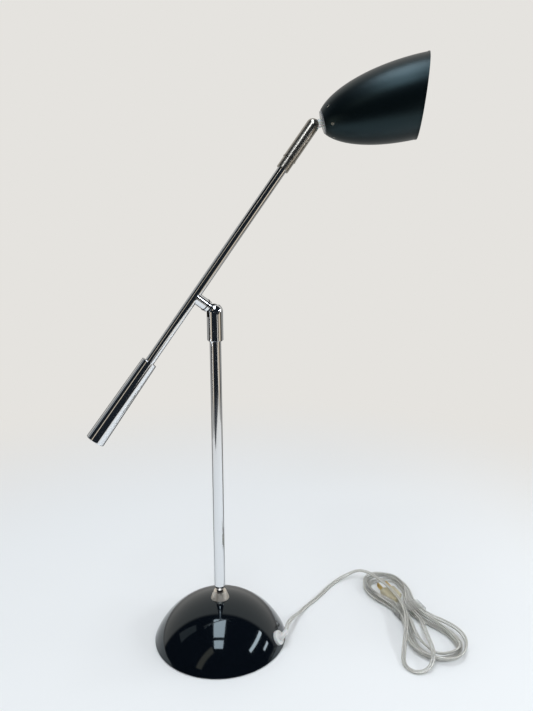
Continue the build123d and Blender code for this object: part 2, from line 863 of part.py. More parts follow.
def hank_point(across, along, height):
    """Place on the table, from the middle of the hank's waist."""
    centre = Vector(hank_centre[0], hank_centre[1], height)
    return centre + hank_across * across + hank_along * along


def hank_node(index):
    """Place and heading of the wound cord at each eighth of a loop."""
    loop = index / 8
    half = hank_loops / 2
    spread = loop if loop <= half else hank_loops - loop
    height = (upper_layer + lower_layer) / 2
    if loop < half:
        height = upper_layer
    if loop > half:
        height = lower_layer
    waist = waist_offset + waist_step * spread
    lobe = lobe_offset + lobe_step * spread
    far = far_end + end_step * spread
    near = near_end + end_step * spread
    table = (
        (waist, 0, hank_along),
        (lobe, far_shoulder, hank_along),
        (0, far, hank_across * -1),
        (-lobe, far_shoulder, hank_along * -1),
        (-waist, 0, hank_along * -1),
        (-lobe, -near_shoulder, hank_along * -1),
        (0, -near, hank_across),
        (lobe, -near_shoulder, hank_along),
    )
    across, along, heading = table[index % 8]
    return hank_point(across, along, height), heading


def biarc(start, start_dir, end, end_dir):
    """Two tangent arcs between two places with given headings."""
    gap = end - start
    both = start_dir + end_dir
    bend = 1 - start_dir.dot(end_dir)
    if bend < 1e-9:
        reach = gap.dot(gap) / (4 * gap.dot(end_dir))
    else:
        run = gap.dot(both)
        reach = (math.sqrt(run**2 + 2 * bend * gap.dot(gap)) - run) / (2 * bend)
    middle = (start + end + (start_dir - end_dir) * reach) * 0.5
    TangentArc(start, middle, tangent=start_dir)
    TangentArc(end, middle, tangent=end_dir * -1)


def corner_radii(points):
    """Radius at each corner: as large as its two runs allow."""
    radii = []
    for before, corner, after in zip(points, points[1:], points[2:]):
        turn = math.radians((corner - before).get_angle(after - corner))
        shorter = min((corner - before).length, (after - corner).length)
        radii.append(0.45 * shorter / math.tan(turn / 2))
    return radii


def wire_points(wire, step):
    """Places along a wire, evenly spaced."""
    count = round(wire.length / step)
    return [wire.position_at(index / count) for index in range(count + 1)]


# the free stretch: out of the bushing, down to the table, over the hank, round a loop
# on the table and over the hank again to its waist
hank_start = hank_point(waist_offset, -hank_lead_in, upper_layer)
cord_start = along_sleeve(1).origin
lead_route = [cord_start, cord_start + sleeve_dir * cord_straight]
lead_route += [Vector(place) for place in cord_route]
lead_route += [hank_start - hank_along * lead_straight, hank_start]
lead_radii = corner_radii(lead_route)
print("cord radii", [round(radius, 1) for radius in lead_radii])

with BuildPart() as cord_lead:
    with BuildLine() as lead_line:
        FilletPolyline(*lead_route, radius=lead_radii)
    with BuildSketch(Plane(origin=cord_start, z_dir=sleeve_dir)):
        Circle(cord_radius)
    sweep(path=lead_line.wire())
save(cord_lead, "cord_lead")
lead_length = lead_line.wire().length
section = math.pi * cord_radius**2
print("cord length", round(lead_length, 1))
print("cord volume share", round(cord_lead.part.volume / (section * lead_length), 4))

# the hank: one unbroken tube, from its waist outwards in the upper layer, down a layer
# along the outermost run, inwards in the lower layer and on to the plug
plug_height = plug_thickness / 2 + plug_rest
plug_back = hank_point(waist_offset - plug_shift, plug_lead, plug_height)
with BuildPart() as cord_hank:
    with BuildLine() as hank_line:
        place, heading = hank_node(0)
        Line(hank_start, place)
        for index in range(1, 8 * hank_loops + 1):
            next_place, next_heading = hank_node(index)
            biarc(place, heading, next_place, next_heading)
            place, heading = next_place, next_heading
        plug_run = plug_back - hank_along * plug_straight
        biarc(place, heading, plug_run, hank_along)
        Line(plug_run, plug_back)
    with BuildSketch(Plane(origin=hank_start, z_dir=hank_along)):
        Circle(cord_radius)
    sweep(path=hank_line.wire())
save(cord_hank, "cord_hank")
hank_length = hank_line.wire().length
print("hank length", round(hank_length, 1))
print("hank volume share", round(cord_hank.part.volume / (section * hank_length), 4))

spot_step = 0.8 * cord_radius
spots = wire_points(hank_line.wire(), spot_step)
skip = round(8 * cord_radius / spot_step)
least = min(
    (first - second).length
    for index, first in enumerate(spots)
    for second in spots[index + skip :]
)
print("hank least gap to itself", round(least - 2 * cord_radius, 2))
lead_spots = wire_points(lead_line.wire(), spot_step)
least = min((first - second).length for first in lead_spots[:-8] for second in spots)
print("least gap between free cord and hank", round(least - 2 * cord_radius, 2))

# clear film sleeve round the hank's waist
with BuildPart() as cord_tie:
    right = waist_offset + waist_step * hank_loops / 2 + cord_radius + tie_side_gap
    left = waist_offset + waist_step * (hank_loops - 1) / 2 + cord_radius + tie_side_gap
    tie_height = layer_step + 2 * (cord_radius + tie_gap)
    tie_corner = cord_radius + tie_gap
    tie_plane = Plane(
        origin=hank_point((right - left) / 2, -tie_width / 2, tie_wall + tie_height / 2),
        x_dir=hank_across,
        z_dir=hank_along,
    )
    with BuildSketch(tie_plane):
        RectangleRounded(
            right + left + 2 * tie_wall,
            tie_height + 2 * tie_wall,
            tie_corner + tie_wall,
        )
        RectangleRounded(right + left, tie_height, tie_corner, mode=Mode.SUBTRACT)
    extrude(amount=tie_width)
save(cord_tie, "cord_tie")

# ---------------------------------------------------------------- plug


def along_plug(distance):
    """Plane square to the plug, at a distance from its back."""
    return Plane(origin=plug_back + hank_along * distance, x_dir=hank_across, z_dir=hank_along)


plug_front = plug_taper + plug_body
with BuildPart() as plug_body_solid:
    with BuildSketch(along_plug(0)):
        Circle(plug_grip_radius)
    with BuildSketch(along_plug(plug_taper)):
        RectangleRounded(plug_width, plug_thickness, plug_thickness * 0.42)
    loft()
    with BuildSketch(along_plug(plug_taper)):
        RectangleRounded(plug_width, plug_thickness, plug_thickness * 0.42)
    extrude(amount=plug_body)
    fillet(plug_body_solid.faces().sort_by(Axis(plug_back, hank_along))[-1].edges(), plug_edge)
    with BuildSketch(along_plug(plug_front - blade_root)):
        with GridLocations(blade_spacing, 0, 2, 1):
            Rectangle(blade_thickness + 2 * fit_gap, blade_width + 2 * fit_gap)
    extrude(amount=blade_root, mode=Mode.SUBTRACT)
save(plug_body_solid, "plug_body")

# two flat blades, rounded at the tip and pierced
for side, name in ((-1, "plug_blade_left"), (1, "plug_blade_right")):
    place = along_plug(plug_front - blade_root).origin + hank_across * side * blade_spacing / 2
    blade_side = Plane(origin=place, x_dir=hank_along, z_dir=hank_across)
    blade_reach = blade_root + blade_length
    with BuildPart() as plug_blade:
        with BuildSketch(blade_side) as blade_outline:
            Rectangle(blade_reach, blade_width, align=(Align.MIN, Align.CENTER))
            fillet(blade_outline.vertices().sort_by(Axis.X)[-2:], blade_width * 0.35)
            with Locations((blade_reach - blade_hole_inset, 0)):
                Circle(blade_hole_radius, mode=Mode.SUBTRACT)
        extrude(amount=blade_thickness / 2, both=True)
    save(plug_blade, name)
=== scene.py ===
# Counterweight balance desk lamp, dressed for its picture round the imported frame.
# Metres. The origin is the middle of the base's underside, +Z is up, and the arm lies in
# the XZ plane with the shade's end towards +X.
import math
import random

import bmesh
import bpy
from mathutils import Matrix, Vector


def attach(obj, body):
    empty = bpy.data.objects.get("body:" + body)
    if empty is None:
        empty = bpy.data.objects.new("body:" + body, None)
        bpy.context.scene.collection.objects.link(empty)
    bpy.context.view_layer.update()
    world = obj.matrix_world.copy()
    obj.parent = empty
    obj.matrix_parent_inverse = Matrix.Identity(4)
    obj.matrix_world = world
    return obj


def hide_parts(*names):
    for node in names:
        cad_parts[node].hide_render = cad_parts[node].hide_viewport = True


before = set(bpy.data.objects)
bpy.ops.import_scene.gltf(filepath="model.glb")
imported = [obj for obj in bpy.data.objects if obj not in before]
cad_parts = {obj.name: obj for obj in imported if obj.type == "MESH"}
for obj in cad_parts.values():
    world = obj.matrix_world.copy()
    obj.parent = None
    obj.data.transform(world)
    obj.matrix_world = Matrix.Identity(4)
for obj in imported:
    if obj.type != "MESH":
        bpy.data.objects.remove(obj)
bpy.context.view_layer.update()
scene = bpy.context.scene
scene.view_settings.view_transform = "Standard"

# ------------------------------------------------------------------ camera
# View from a little above the elbow, about three quarters of a metre from the stem, with
# the head's end of the arm turned some twenty-four degrees away from the camera.

eye = (-0.2615, -0.7185, 0.5571)
look_down = 14.17
look_right = 24.34

camera_data = bpy.data.cameras.new("photo_camera")
camera_data.lens = 35.0
camera_data.sensor_width = 36.0
camera_data.clip_start = 0.02
camera = bpy.data.objects.new("photo_camera", camera_data)
camera.location = eye
camera.rotation_euler = (math.radians(90 - look_down), 0, math.radians(-look_right))
scene.collection.objects.link(camera)
scene.camera = camera


# ------------------------------------------------------------------ cord
# Clear flat flex: two tinned copper strands side by side in a soft PVC covering.
# It is extruded in one length, leaves the base, lies loose and ends wound in a hank.


def linear(colour):
    """sRGB hex value as linear red, green, blue and alpha."""
    parts = [int(colour[place : place + 2], 16) / 255 for place in (1, 3, 5)]
    return tuple(
        part / 12.92 if part <= 0.04045 else ((part + 0.055) / 1.055) ** 2.4 for part in parts
    ) + (1.0,)


def add_node(tree, kind, settings=None, **links):
    """Adds a node, with its settings and with values or sockets for its inputs.
    An input is given by its name, or by its number after the letter i."""
    made = tree.nodes.new(kind)
    for name, value in (settings or {}).items():
        setattr(made, name, value)
    for name, value in links.items():
        numbered = name[0] == "i" and name[1:].isdigit()
        socket = made.inputs[int(name[1:])] if numbered else made.inputs[name.replace("_", " ")]
        if isinstance(value, bpy.types.NodeSocket):
            tree.links.new(value, socket)
        else:
            socket.default_value = value
    return made


def new_finish(name, **values):
    """Material with one Principled shader, its plain values set on its own sockets."""
    finish = bpy.data.materials.new(name)
    finish.use_nodes = True
    shader = finish.node_tree.nodes["Principled BSDF"]
    for key, value in values.items():
        shader.inputs[key.replace("_", " ")].default_value = value
    return finish, finish.node_tree, shader


def link(name, mesh, *finishes):
    """New object in the scene with its finishes."""
    made = bpy.data.objects.new(name, mesh)
    for finish in finishes:
        mesh.materials.append(finish)
    scene.collection.objects.link(made)
    return made


cord_width = 0.0054
lobe_radius = cord_width / 4
strand_radius = 0.00078
cord_step = 0.0016  # between the rings of its mesh

# free stretch: out of the bushing, over the table, over the hank, a loop on the table
# and back over the hank to its waist
free_route = [
    (0.06595, -0.05220, 0.01995),
    (0.0706, -0.0458, 0.0215),
    (0.0785, -0.0370, 0.0206),
    (0.0880, -0.0265, 0.0160),
    (0.0975, -0.0162, 0.0100),
    (0.1085, -0.0060, 0.0050),
    (0.1210, 0.0035, 0.0024),
    (0.1370, 0.0125, 0.0018),
    (0.1560, 0.0220, 0.0018),
    (0.1750, 0.0345, 0.0018),
    (0.1945, 0.0435, 0.0022),
    (0.2130, 0.0455, 0.0060),
    (0.2260, 0.0390, 0.0132),
    (0.2340, 0.0260, 0.0153),
    (0.2385, 0.0080, 0.0150),
    (0.2405, -0.0120, 0.0150),
    (0.2395, -0.0340, 0.0151),
    (0.2350, -0.0570, 0.0156),
    (0.2255, -0.0790, 0.0154),
    (0.2140, -0.0970, 0.0153),
    (0.2015, -0.1115, 0.0108),
    (0.1895, -0.1260, 0.0046),
    (0.1788, -0.1403, 0.0020),
    (0.1769, -0.1516, 0.0018),
    (0.1822, -0.1617, 0.0018),
    (0.1928, -0.1663, 0.0042),
    (0.2032, -0.1638, 0.0094),
    (0.2114, -0.1546, 0.0148),
    (0.2178, -0.1405, 0.0156),
    (0.2233, -0.1265, 0.0154),
    (0.2293, -0.1130, 0.0146),
    (0.2365, -0.0995, 0.0120),
]

# hank: four loops in two layers, drawn in at the waist, worked out from the loop's
# number; its far end points away from the camera
hank_centre = Vector((0.241, -0.062, 0.0))
hank_turn = math.radians(-4.0)
hank_along = Vector((-math.sin(hank_turn), math.cos(hank_turn), 0.0))
hank_across = Vector((math.cos(hank_turn), math.sin(hank_turn), 0.0))
hank_loops = 4
waist_offset, waist_step = 0.0032, 0.0070
lobe_offset, lobe_step = 0.0195, 0.0062
far_shoulder, near_shoulder = 0.058, 0.066
far_end, near_end, end_step = 0.082, 0.095, 0.0062
low_layer, high_layer = 0.0032, 0.0090

# how far the cord keeps its heading either side of a place: at the waist and the near
# shoulders, and at the far shoulders and both ends
long_hold, short_hold = 0.0145, 0.0125

# how far each loop strays where nothing ties it: its far end, its near end and its sides
far_stray = (0.000, -0.006, 0.004, -0.007, 0.003)
near_stray = (-0.005, 0.000, -0.008, 0.001, -0.004)
side_stray = (0.003, -0.004, -0.002, -0.003, 0.002)

# along the hank from its waist: where the free stretch joins, the last turn ends, and the
# cord goes into the plug, which it does to one side and between the layers
first_place, last_place, plug_place = -0.025, 0.006, 0.024
plug_aside, plug_height, plug_hold = -0.0042, 0.0052, 0.0085


def hank_place(across, along, height):
    """Point of the hank, from the middle of its waist."""
    return hank_centre + hank_across * across + hank_along * along + Vector((0, 0, height))


# each place where the heading is known gives two points
hank_route = [hank_place(waist_offset, first_place, high_layer)]
for index in range(8 * hank_loops + 1):
    number, eighth = divmod(index, 8)
    loop = index / 8
    spread = loop if loop <= hank_loops / 2 else hank_loops - loop
    height = high_layer if loop < hank_loops / 2 else low_layer
    if loop == hank_loops / 2:
        height = (high_layer + low_layer) / 2
    waist = waist_offset + waist_step * spread
    lobe = lobe_offset + lobe_step * spread + side_stray[number] * (1 if eighth < 4 else -1)
    far = far_end + end_step * spread + far_stray[number]
    near = near_end + end_step * spread + near_stray[number]
    across, along, heading, hold = (
        (waist, 0, hank_along, long_hold),
        (lobe, far_shoulder, hank_along, short_hold),
        (0, far, -hank_across, short_hold),
        (-lobe, far_shoulder, -hank_along, short_hold),
        (-waist, 0, -hank_along, long_hold),
        (-lobe, -near_shoulder, -hank_along, long_hold),
        (0, -near, hank_across, short_hold),
        (lobe, -near_shoulder, hank_along, long_hold),
    )[eighth]
    place = hank_place(across, along, height)
    hank_route += [place - heading * hold, place + heading * hold]
hank_route[-1] = hank_place(waist_offset, last_place, low_layer)
plug_back = hank_place(waist_offset + plug_aside, plug_place, plug_height)
hank_route += [plug_back - hank_along * plug_hold, plug_back]


def read_spline(points, name):
    """Points along the smooth line that a NURBS spline with these points draws."""
    curve = bpy.data.curves.new(name, "CURVE")
    curve.dimensions = "3D"
    spline = curve.splines.new("NURBS")
    spline.points.add(len(points) - 1)
    for point, place in zip(spline.points, points):
        point.co = (*place, 1.0)
    spline.order_u = 3
    spline.use_endpoint_u = True
    spline.resolution_u = 12
    holder = bpy.data.objects.new(name, curve)
    scene.collection.objects.link(holder)
    bpy.context.view_layer.update()
    drawn = holder.evaluated_get(bpy.context.evaluated_depsgraph_get())
    line = bpy.data.meshes.new_from_object(drawn)
    places = [vertex.co.copy() for vertex in line.vertices]
    bpy.data.objects.remove(holder)
    bpy.data.meshes.remove(line)
    return places


def even_places(places, step):
    """The same line at even distances, and its length."""
    lengths = [0.0]
    for before, after in zip(places, places[1:]):
        lengths.append(lengths[-1] + (after - before).length)
    total = lengths[-1]
    count = round(total / step)
    even, at = [], 0
    for index in range(count + 1):
        goal = total * index / count
        while at < len(places) - 2 and lengths[at + 1] < goal:
            at += 1
        span = lengths[at + 1] - lengths[at]
        share = (goal - lengths[at]) / span if span > 0 else 0.0
        even.append(places[at].lerp(places[at + 1], min(1.0, max(0.0, share))))
    return even, total


def tube(name, places, section, sides_of, finish):
    """Mesh swept along a line: section points in the line's side and up directions."""
    mesh = bpy.data.meshes.new(name)
    build = bmesh.new()
    rings = []
    for index, place in enumerate(places):
        side, up = sides_of[index]
        rings.append([build.verts.new(place + side * x + up * y) for x, y in section])
    count = len(section)
    for before, after in zip(rings, rings[1:]):
        for corner in range(count):
            following = (corner + 1) % count
            build.faces.new((before[corner], before[following], after[following], after[corner]))
    build.faces.new(list(reversed(rings[0])))
    build.faces.new(rings[-1])
    bmesh.ops.recalc_face_normals(build, faces=build.faces)
    build.to_mesh(mesh)
    build.free()
    mesh.polygons.foreach_set("use_smooth", [True] * len(mesh.polygons))
    return link(name, mesh, finish)


cord_line, cord_length = even_places(
    read_spline([Vector(place) for place in free_route] + hank_route, "cord_line"), cord_step
)

# the flex lies flat where it is free and turns on edge as it goes round the hank's bends
random.seed(4)
roll_knots = [random.uniform(-0.5, 0.9) for _ in range(60)]
roll_spans = len(roll_knots) - 2
hank_from, hank_within = 0.42, 0.1  # metres along the cord
free_roll, hank_roll, on_edge = 0.35, 0.75, 0.45
cord_sides = []
for index, place in enumerate(cord_line):
    ahead = cord_line[min(index + 1, len(cord_line) - 1)]
    behind = cord_line[max(index - 1, 0)]
    heading = (ahead - behind).normalized()
    side = heading.cross(Vector((0, 0, 1))).normalized()
    up = side.cross(heading).normalized()
    along = index / (len(cord_line) - 1) * roll_spans
    knot = int(along)
    ease = (1 - math.cos((along - knot) * math.pi)) / 2
    roll = roll_knots[knot] * (1 - ease) + roll_knots[knot + 1] * ease
    wound = min(1.0, max(0.0, (index * cord_step - hank_from) / hank_within))
    angle = roll * (free_roll + hank_roll * wound) + on_edge * wound
    cord_sides.append(
        (
            side * math.cos(angle) + up * math.sin(angle),
            up * math.cos(angle) - side * math.sin(angle),
        )
    )

# section of the covering: two lobes with a groove between them
groove_turn = 112  # degrees from a lobe's outermost point to the groove
lobe_quarter = 4  # points from there to the groove
sheath_section = []
for lobe_sign, outward in ((1, 0), (-1, 180)):
    for step in range(-lobe_quarter, lobe_quarter + 1):
        turn = math.radians(outward + step * groove_turn / lobe_quarter)
        sheath_section.append(
            (
                lobe_sign * lobe_radius + lobe_radius * math.cos(turn),
                lobe_radius * math.sin(turn),
            )
        )

strand_corners = 6
strand_section = []
for corner in range(strand_corners):
    turn = 2 * math.pi * corner / strand_corners
    strand_section.append((strand_radius * math.cos(turn), strand_radius * math.sin(turn)))

# A texture runs from 0 to 1 across the piece that it is on, so a pattern's scale is the
# piece's width over the pattern's size, both in millimetres.
cord_spread = 1000 * (max(place.x for place in cord_line) - min(place.x for place in cord_line))

# flexible PVC, extruded: clear and glossy, so its rounded edges draw light and dark lines
# along the cord; a faint unevenness of 0.8 mm keeps them from being perfect
clear_pvc, tree, shader = new_finish(
    "clear_flexible_pvc",
    Base_Color=linear("#FAFBF9"),
    Roughness=0.07,
    IOR=1.5,
    Transmission_Weight=0.9,
)
cloud = add_node(tree, "ShaderNodeTexNoise", Scale=cord_spread / 0.8, Detail=3.0)
bump = add_node(
    tree, "ShaderNodeBump", Height=cloud.outputs["Fac"], Strength=0.15, Distance=0.0002
)
tree.links.new(bump.outputs["Normal"], shader.inputs["Normal"])

# tinned copper, drawn and twisted: fine wires of a quarter of a millimetre, which show as
# a pale silvery grain under the covering
tinned_copper, tree, shader = new_finish(
    "tinned_copper_strand", Base_Color=linear("#E6E5E0"), Metallic=0.45, Roughness=0.35
)
wires = add_node(tree, "ShaderNodeTexNoise", Scale=cord_spread / 0.23, Detail=1.0)
wire_tone = add_node(
    tree,
    "ShaderNodeMix",
    {"data_type": "RGBA"},
    Factor=wires.outputs["Fac"],
    i6=linear("#B4B3AD"),
    i7=linear("#FFFEFA"),
)
tree.links.new(wire_tone.outputs[2], shader.inputs["Base Color"])

cord_cover = tube("cord_cover", cord_line, sheath_section, cord_sides, clear_pvc)
strands = []
for name, shift in (("cord_strand_left", -lobe_radius), ("cord_strand_right", lobe_radius)):
    middle = [place + sides[0] * shift for place, sides in zip(cord_line, cord_sides)]
    strands.append(tube(name, middle[1:-1], strand_section, cord_sides[1:-1], tinned_copper))

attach(cord_cover, "stand")
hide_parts("cord_lead", "cord_hank")
for strand in strands:
    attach(strand, "stand")

# ------------------------------------------------------------------ tie
# Sleeve of thin clear film round the hank's waist, as a shop puts it on: a strip wrapped
# once round the cord and shrunk.


def times_across(name, size):
    """How often a size in millimetres goes into the width of a piece of the frame."""
    return 1000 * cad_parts[name].dimensions.x / size


def finish_node(name, finish):
    """Gives a piece of the frame its finish."""
    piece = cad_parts[name]
    for slot in piece.material_slots:
        slot.material = finish
    if not piece.material_slots:
        piece.data.materials.append(finish)
    return piece


# clear film, shrunk: almost unseen but for small glints on its crinkles, 0.23 mm apart
clear_film, tree, shader = new_finish(
    "clear_shrunk_film",
    Base_Color=linear("#FAFBFA"),
    Roughness=0.05,
    IOR=1.3,
    Transmission_Weight=0.97,
)
crinkle = add_node(
    tree,
    "ShaderNodeTexNoise",
    Scale=times_across("cord_tie", 0.226),
    Detail=2.0,
    Distortion=1.5,
)
bump = add_node(
    tree, "ShaderNodeBump", Height=crinkle.outputs["Fac"], Strength=0.3, Distance=0.0006
)
tree.links.new(bump.outputs["Normal"], shader.inputs["Normal"])
finish_node("cord_tie", clear_film)

# ------------------------------------------------------------------ plug
# Two-blade plug, moulded on the flex in the same clear PVC, which has yellowed, with flat
# blades stamped from brass.

# PVC, moulded: a pale straw yellow that lets some light through, with faint flow clouds
amber_pvc, tree, shader = new_finish(
    "yellowed_clear_pvc",
    Base_Color=linear("#EFE8CC"),
    Roughness=0.22,
    IOR=1.48,
    Transmission_Weight=0.6,
)
flow = add_node(tree, "ShaderNodeTexNoise", Scale=times_across("plug_body", 0.27), Detail=3.0)
straw = add_node(
    tree,
    "ShaderNodeMix",
    {"data_type": "RGBA"},
    Factor=flow.outputs["Fac"],
    i6=linear("#E2D8B0"),
    i7=linear("#F6F1DE"),
)
tree.links.new(straw.outputs[2], shader.inputs["Base Color"])
finish_node("plug_body", amber_pvc)

# brass, rolled and stamped: dull yellow metal with fine rolling grain
plain_brass, tree, shader = new_finish(
    "stamped_brass", Base_Color=linear("#C9AA5E"), Metallic=1.0, Roughness=0.3
)
grain = add_node(
    tree, "ShaderNodeTexNoise", Scale=times_across("plug_blade_left", 0.0047), Detail=4.0
)
dull = add_node(
    tree, "ShaderNodeMapRange", Value=grain.outputs["Fac"], To_Min=0.2, To_Max=0.45
)
tree.links.new(dull.outputs["Result"], shader.inputs["Roughness"])
finish_node("plug_blade_left", plain_brass)
finish_node("plug_blade_right", plain_brass)

# ------------------------------------------------------------------ base shell
# Dome spun from steel sheet and stoved in black gloss enamel, open underneath. It covers
# the weight, and a felt pad closes it.

# gloss enamel, sprayed and stoved: a black mirror, a little blue, with the odd speck of
# dust of 0.4 mm and wiping marks of 3.6 mm that dull it unevenly
gloss_enamel, tree, shader = new_finish(
    "black_gloss_enamel",
    Base_Color=linear("#060A10"),
    Roughness=0.06,
    IOR=1.5,
    Specular_Tint=linear("#C8E0E6"),
    Coat_Weight=0.35,
    Coat_Roughness=0.03,
)
dust = add_node(
    tree,
    "ShaderNodeTexNoise",
    Scale=times_across("base_shell", 0.39),
    Detail=2.0,
    Roughness=0.7,
)
speck = add_node(
    tree, "ShaderNodeMapRange", Value=dust.outputs["Fac"], From_Min=0.70, From_Max=0.76
)
wiping = add_node(
    tree,
    "ShaderNodeTexNoise",
    Scale=times_across("base_shell", 3.64),
    Detail=5.0,
    Distortion=0.6,
)
haze = add_node(
    tree, "ShaderNodeMapRange", Value=wiping.outputs["Fac"], To_Min=0.035, To_Max=0.12
)
dusty = add_node(
    tree,
    "ShaderNodeMix",
    {"data_type": "RGBA"},
    Factor=speck.outputs["Result"],
    i6=linear("#060A10"),
    i7=linear("#4A4D52"),
)
tree.links.new(dusty.outputs[2], shader.inputs["Base Color"])
tree.links.new(haze.outputs["Result"], shader.inputs["Roughness"])
finish_node("base_shell", gloss_enamel)

# ------------------------------------------------------------------ weight and its fixing
# Cast iron disc under the dome, on a felt pad that lies on the table. A threaded nipple,
# with a washer and a hexagon nut in the weight's recess, holds shell and stem on it.

# grey iron, sand cast: dark and matt, with a rough skin of 0.24 mm grains
rough_iron, tree, shader = new_finish(
    "sand_cast_iron", Base_Color=linear("#3A3A3B"), Metallic=0.7, Roughness=0.75
)
sand = add_node(tree, "ShaderNodeTexNoise", Scale=times_across("base_weight", 0.238), Detail=4.0)
bump = add_node(
    tree, "ShaderNodeBump", Height=sand.outputs["Fac"], Strength=0.6, Distance=0.0005
)
tree.links.new(bump.outputs["Normal"], shader.inputs["Normal"])
finish_node("base_weight", rough_iron)

# wool felt, pressed: black without any gloss, with a pale nap where it is seen edge on;
# its fibres are drawn at 0.1 mm, coarser than real ones, so that they show
black_felt, tree, shader = new_finish(
    "pressed_felt", Base_Color=linear("#1B1B1D"), Roughness=0.95, Sheen_Weight=0.4
)
fibre = add_node(tree, "ShaderNodeTexNoise", Scale=times_across("base_pad", 0.107), Detail=3.0)
bump = add_node(
    tree, "ShaderNodeBump", Height=fibre.outputs["Fac"], Strength=0.8, Distance=0.0004
)
tree.links.new(bump.outputs["Normal"], shader.inputs["Normal"])
finish_node("base_pad", black_felt)

# steel, turned and oiled, unplated: nearly black metal, ringed by turning marks an eighth
# of a millimetre apart
wave_scale = 2 * math.pi / 20  # a wave texture's scale for one wave across a piece
nipple_length = 1000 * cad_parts["base_nipple"].dimensions.z
dark_steel, tree, shader = new_finish(
    "oiled_steel", Base_Color=linear("#2A2A2B"), Metallic=0.9, Roughness=0.4
)
turning = add_node(
    tree,
    "ShaderNodeTexWave",
    {"bands_direction": "Z"},
    Scale=wave_scale * nipple_length / 0.1237,
    Distortion=0.0,
)
bump = add_node(
    tree, "ShaderNodeBump", Height=turning.outputs["Fac"], Strength=0.7, Distance=0.0004
)
tree.links.new(bump.outputs["Normal"], shader.inputs["Normal"])
finish_node("base_nipple", dark_steel)

# steel, zinc plated: a bluish grey metal with a fine, uneven bloom of crystals
zinc_plate, tree, shader = new_finish(
    "zinc_plated_steel", Base_Color=linear("#B4B7B8"), Metallic=1.0, Roughness=0.32
)
bloom = add_node(tree, "ShaderNodeTexNoise", Scale=times_across("base_nut", 0.054), Detail=4.0)
dull = add_node(
    tree, "ShaderNodeMapRange", Value=bloom.outputs["Fac"], To_Min=0.22, To_Max=0.5
)
tree.links.new(dull.outputs["Result"], shader.inputs["Roughness"])
finish_node("base_washer", zinc_plate)
finish_node("base_nut", zinc_plate)

# ------------------------------------------------------------------ cord bushing
# Button moulded in pale, slightly cloudy plastic and pressed into the dome's side. It
# keeps the cord off the sheet's edge and turns it aside.

# polypropylene, moulded: pale grey, soft-looking because light goes a little way in
pale_plastic, tree, shader = new_finish(
    "pale_moulded_polypropylene",
    Base_Color=linear("#D5D6D3"),
    Roughness=0.3,
    Subsurface_Weight=0.15,
    Subsurface_Scale=0.002,
)
flow = add_node(tree, "ShaderNodeTexNoise", Scale=times_across("cord_bushing", 0.17), Detail=2.0)
bump = add_node(
    tree, "ShaderNodeBump", Height=flow.outputs["Fac"], Strength=0.1, Distance=0.0003
)
tree.links.new(bump.outputs["Normal"], shader.inputs["Normal"])
finish_node("cord_bushing", pale_plastic)

# ------------------------------------------------------------------ collar
# Small cone, turned from steel, whose foot follows the dome. The stem stands in it, and
# it spreads the stem's load.

# steel, nickel plated as turned: a warm, satin skin, because its turning marks, a
# hundredth of a millimetre apart, are too fine to see one by one
collar_height = 1000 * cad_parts["stem_collar"].dimensions.z
satin_nickel, tree, shader = new_finish(
    "satin_nickel_plate", Base_Color=linear("#E8E1D6"), Metallic=1.0, Roughness=0.36
)
turning = add_node(
    tree,
    "ShaderNodeTexWave",
    {"bands_direction": "Z"},
    Scale=wave_scale * collar_height / 0.0111,
    Distortion=1.2,
    Detail=2.0,
)
bump = add_node(
    tree, "ShaderNodeBump", Height=turning.outputs["Fac"], Strength=0.2, Distance=0.0002
)
dull = add_node(
    tree, "ShaderNodeMapRange", Value=turning.outputs["Fac"], To_Min=0.28, To_Max=0.45
)
tree.links.new(dull.outputs["Result"], shader.inputs["Roughness"])
tree.links.new(bump.outputs["Normal"], shader.inputs["Normal"])
finish_node("stem_collar", satin_nickel)

# ------------------------------------------------------------------ stem
# Drawn steel tube with a turned-down foot in the collar. A threaded bush pressed into its
# top takes the hollow screw that the elbow turns on.

# steel, polished and chrome plated: a clean mirror that darkens to its edges, with faint
# rubbing, a third of a millimetre wide and 9 mm long on the stem
chrome_plate, tree, shader = new_finish(
    "polished_chrome_plate",
    Base_Color=linear("#E8EAEC"),
    Metallic=1.0,
    Roughness=0.05,
    Specular_Tint=linear("#77797C"),
)
rubbing = add_node(
    tree,
    "ShaderNodeTexNoise",
    Scale=times_across("stem_tube", 0.342),
    Detail=6.0,
    Roughness=0.65,
    Distortion=0.8,
)
dull = add_node(
    tree,
    "ShaderNodeMapRange",
    Value=rubbing.outputs["Fac"],
    From_Min=0.35,
    From_Max=0.75,
    To_Min=0.035,
    To_Max=0.13,
)
tree.links.new(dull.outputs["Result"], shader.inputs["Roughness"])
finish_node("stem_tube", chrome_plate)
finish_node("stem_bush", zinc_plate)
finish_node("swivel_screw", zinc_plate)

# ------------------------------------------------------------------ elbow
# Turned, ball-ended sleeve that swivels on the stem, slotted for a tongue on a cross pin.
# A dark ring fills the groove between the tongue and the arm's knuckle.

for name in ("elbow_sleeve", "elbow_pin", "elbow_tongue"):
    finish_node(name, chrome_plate)
finish_node("elbow_ring", dark_steel)

# ------------------------------------------------------------------ arm and counterweight
# Long thin tube through a turned knuckle. Its lower end is fixed in a solid, slightly
# tapered bar that balances the head. All three are plated like the stem.

for name in ("arm_knuckle", "arm_tube", "counterweight"):
    finish_node(name, chrome_plate)

# ------------------------------------------------------------------ head sleeve
# Ferrule on the arm's upper end, and the longer, ball-ended sleeve that turns on it by a
# stud and is slotted for the shade's neck. The lamp is aimed by it, so it is worn.

